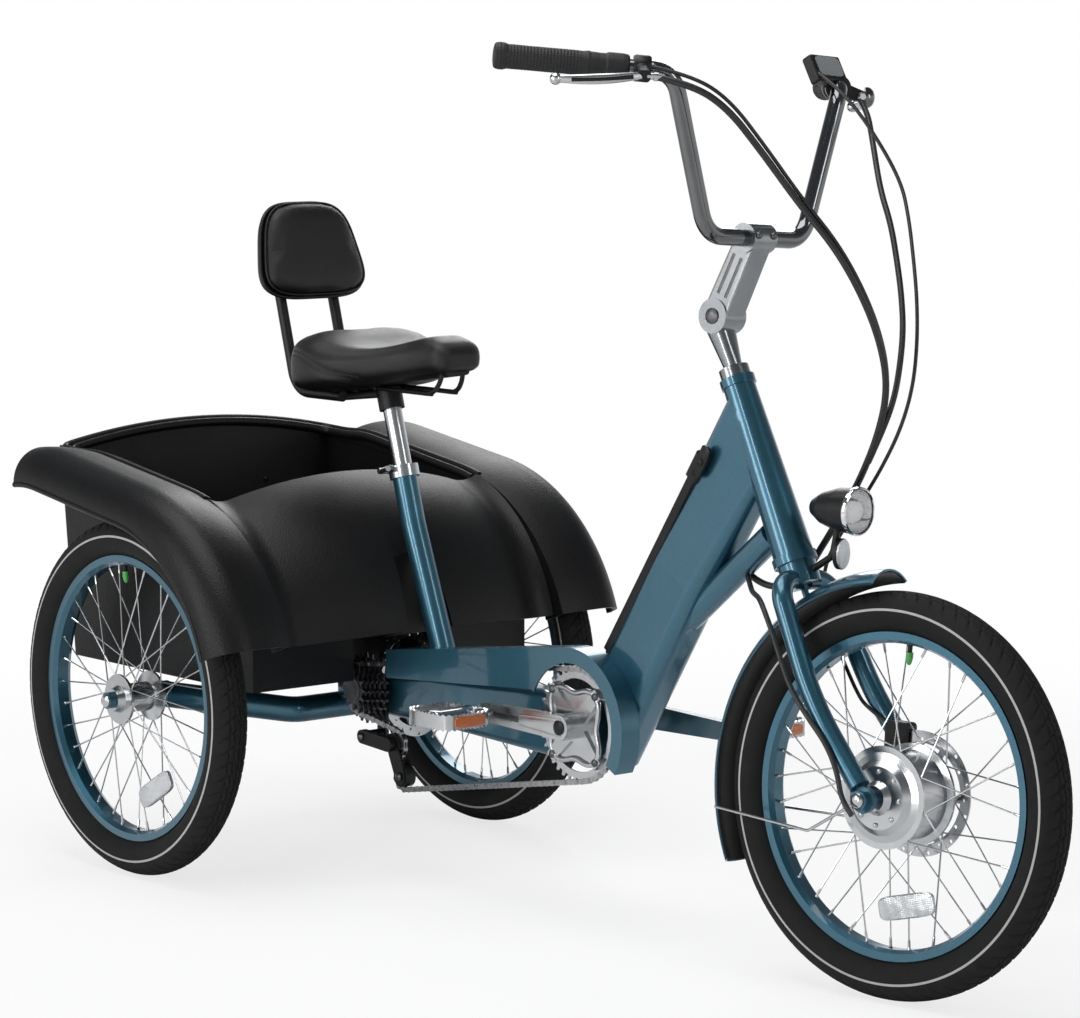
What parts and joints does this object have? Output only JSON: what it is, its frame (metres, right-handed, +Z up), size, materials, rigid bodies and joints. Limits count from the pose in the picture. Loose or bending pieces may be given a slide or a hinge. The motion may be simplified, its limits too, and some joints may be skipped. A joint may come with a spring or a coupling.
{
  "type": "electric tricycle",
  "caption": "Adult electric tricycle with a steered hub-motor front wheel, low step-through frame and a moulded open cargo tub between fendered rear wheels.",
  "frame": {"origin": "centre of the bounding box on the ground", "axes": "+X forward, +Y to the rider's left, +Z up"},
  "size_m": [1.7912, 0.744, 1.1977],
  "materials": {
    "paint": "metallic blue gloss",
    "body_plastic": "grained moulding",
    "black_plastic": "satin",
    "black_metal": "satin black",
    "alloy": "polished",
    "steel": "brushed",
    "dark_chrome": "dark plated",
    "leather": "padded cover",
    "grip_rubber": "matte",
    "tyre": "road tyre",
    "lens": "clear"
  },
  "bodies": {
    "chassis": {"front_frame": "paint", "battery": "black_plastic", "rear_frame": "paint", "axle_carrier": "paint", "seat_tube": "paint", "seat_collar": "alloy", "seat_post": "alloy", "saddle_carrier": "black_metal", "saddle": "leather", "backrest_pad": "leather", "backrest_frame": "black_metal", "cargo_tub": "body_plastic", "cargo_panel": "body_plastic", "fender_left": "body_plastic", "fender_right": "body_plastic", "chain": "steel", "derailleur": "black_metal", "chainguard": "paint", "caliper_rear": "steel", "fork_leads": "grip_rubber"},
    "steering": {"fork": "paint", "stem": "alloy", "handlebar": "dark_chrome", "grips": "grip_rubber", "brake_levers": "alloy", "display": "black_plastic", "headlamp": "black_plastic", "lamp_lens": "lens", "lamp_bracket": "black_plastic", "fender_front": "paint", "fender_stays": "steel", "caliper_front": "steel", "control_cables": "grip_rubber"},
    "front_wheel": {"tyre_front": "tyre", "rim_front": "paint", "motor_hub_front": "alloy", "brake_disc_front": "steel"},
    "rear_wheel_right": {"tyre_rear_right": "tyre", "rim_rear_right": "paint", "hub_rear_right": "alloy"},
    "rear_wheel_left": {"tyre_rear_left": "tyre", "rim_rear_left": "paint", "hub_rear_left": "alloy"},
    "jackshaft": {"jackshaft": "steel", "brake_disc_rear": "steel"},
    "crank": {"crankset": "alloy"},
    "pedal_right": {"pedal_right": "alloy"},
    "pedal_left": {"pedal_left": "alloy"}
  },
  "joints": [
    {"name": "steering", "type": "hinge", "parent": "chassis", "child": "steering", "pos_m": [0.60362, 0, 0.23937], "axis": [-0.4462, 0, 0.8949], "range_deg": [-54, 36], "deforming": ["fork_leads"]},
    {"name": "front_wheel", "type": "hinge", "parent": "steering", "child": "front_wheel", "pos_m": [0.63986, 0.00641, 0.25744], "axis": [-0.14, 0.9877, -0.0698], "continuous": true},
    {"name": "rear_wheel_right", "type": "hinge", "parent": "chassis", "child": "rear_wheel_right", "pos_m": [-0.59269, -0.318, 0.258], "axis": [0, 1, 0], "continuous": true},
    {"name": "rear_wheel_left", "type": "hinge", "parent": "chassis", "child": "rear_wheel_left", "pos_m": [-0.59269, 0.318, 0.258], "axis": [0, 1, 0], "continuous": true},
    {"name": "jackshaft", "type": "hinge", "parent": "chassis", "child": "jackshaft", "pos_m": [-0.40869, 0, 0.266], "axis": [0, 1, 0], "continuous": true},
    {"name": "crank", "type": "hinge", "parent": "chassis", "child": "crank", "pos_m": [0.08031, 0, 0.278], "axis": [0, 1, 0], "continuous": true},
    {"name": "pedal_right", "type": "hinge", "parent": "crank", "child": "pedal_right", "pos_m": [-0.08469, -0.142, 0.278], "axis": [0, 1, 0], "continuous": true},
    {"name": "pedal_left", "type": "hinge", "parent": "crank", "child": "pedal_left", "pos_m": [0.24531, 0.142, 0.278], "axis": [0, 1, 0], "continuous": true}
  ]
}
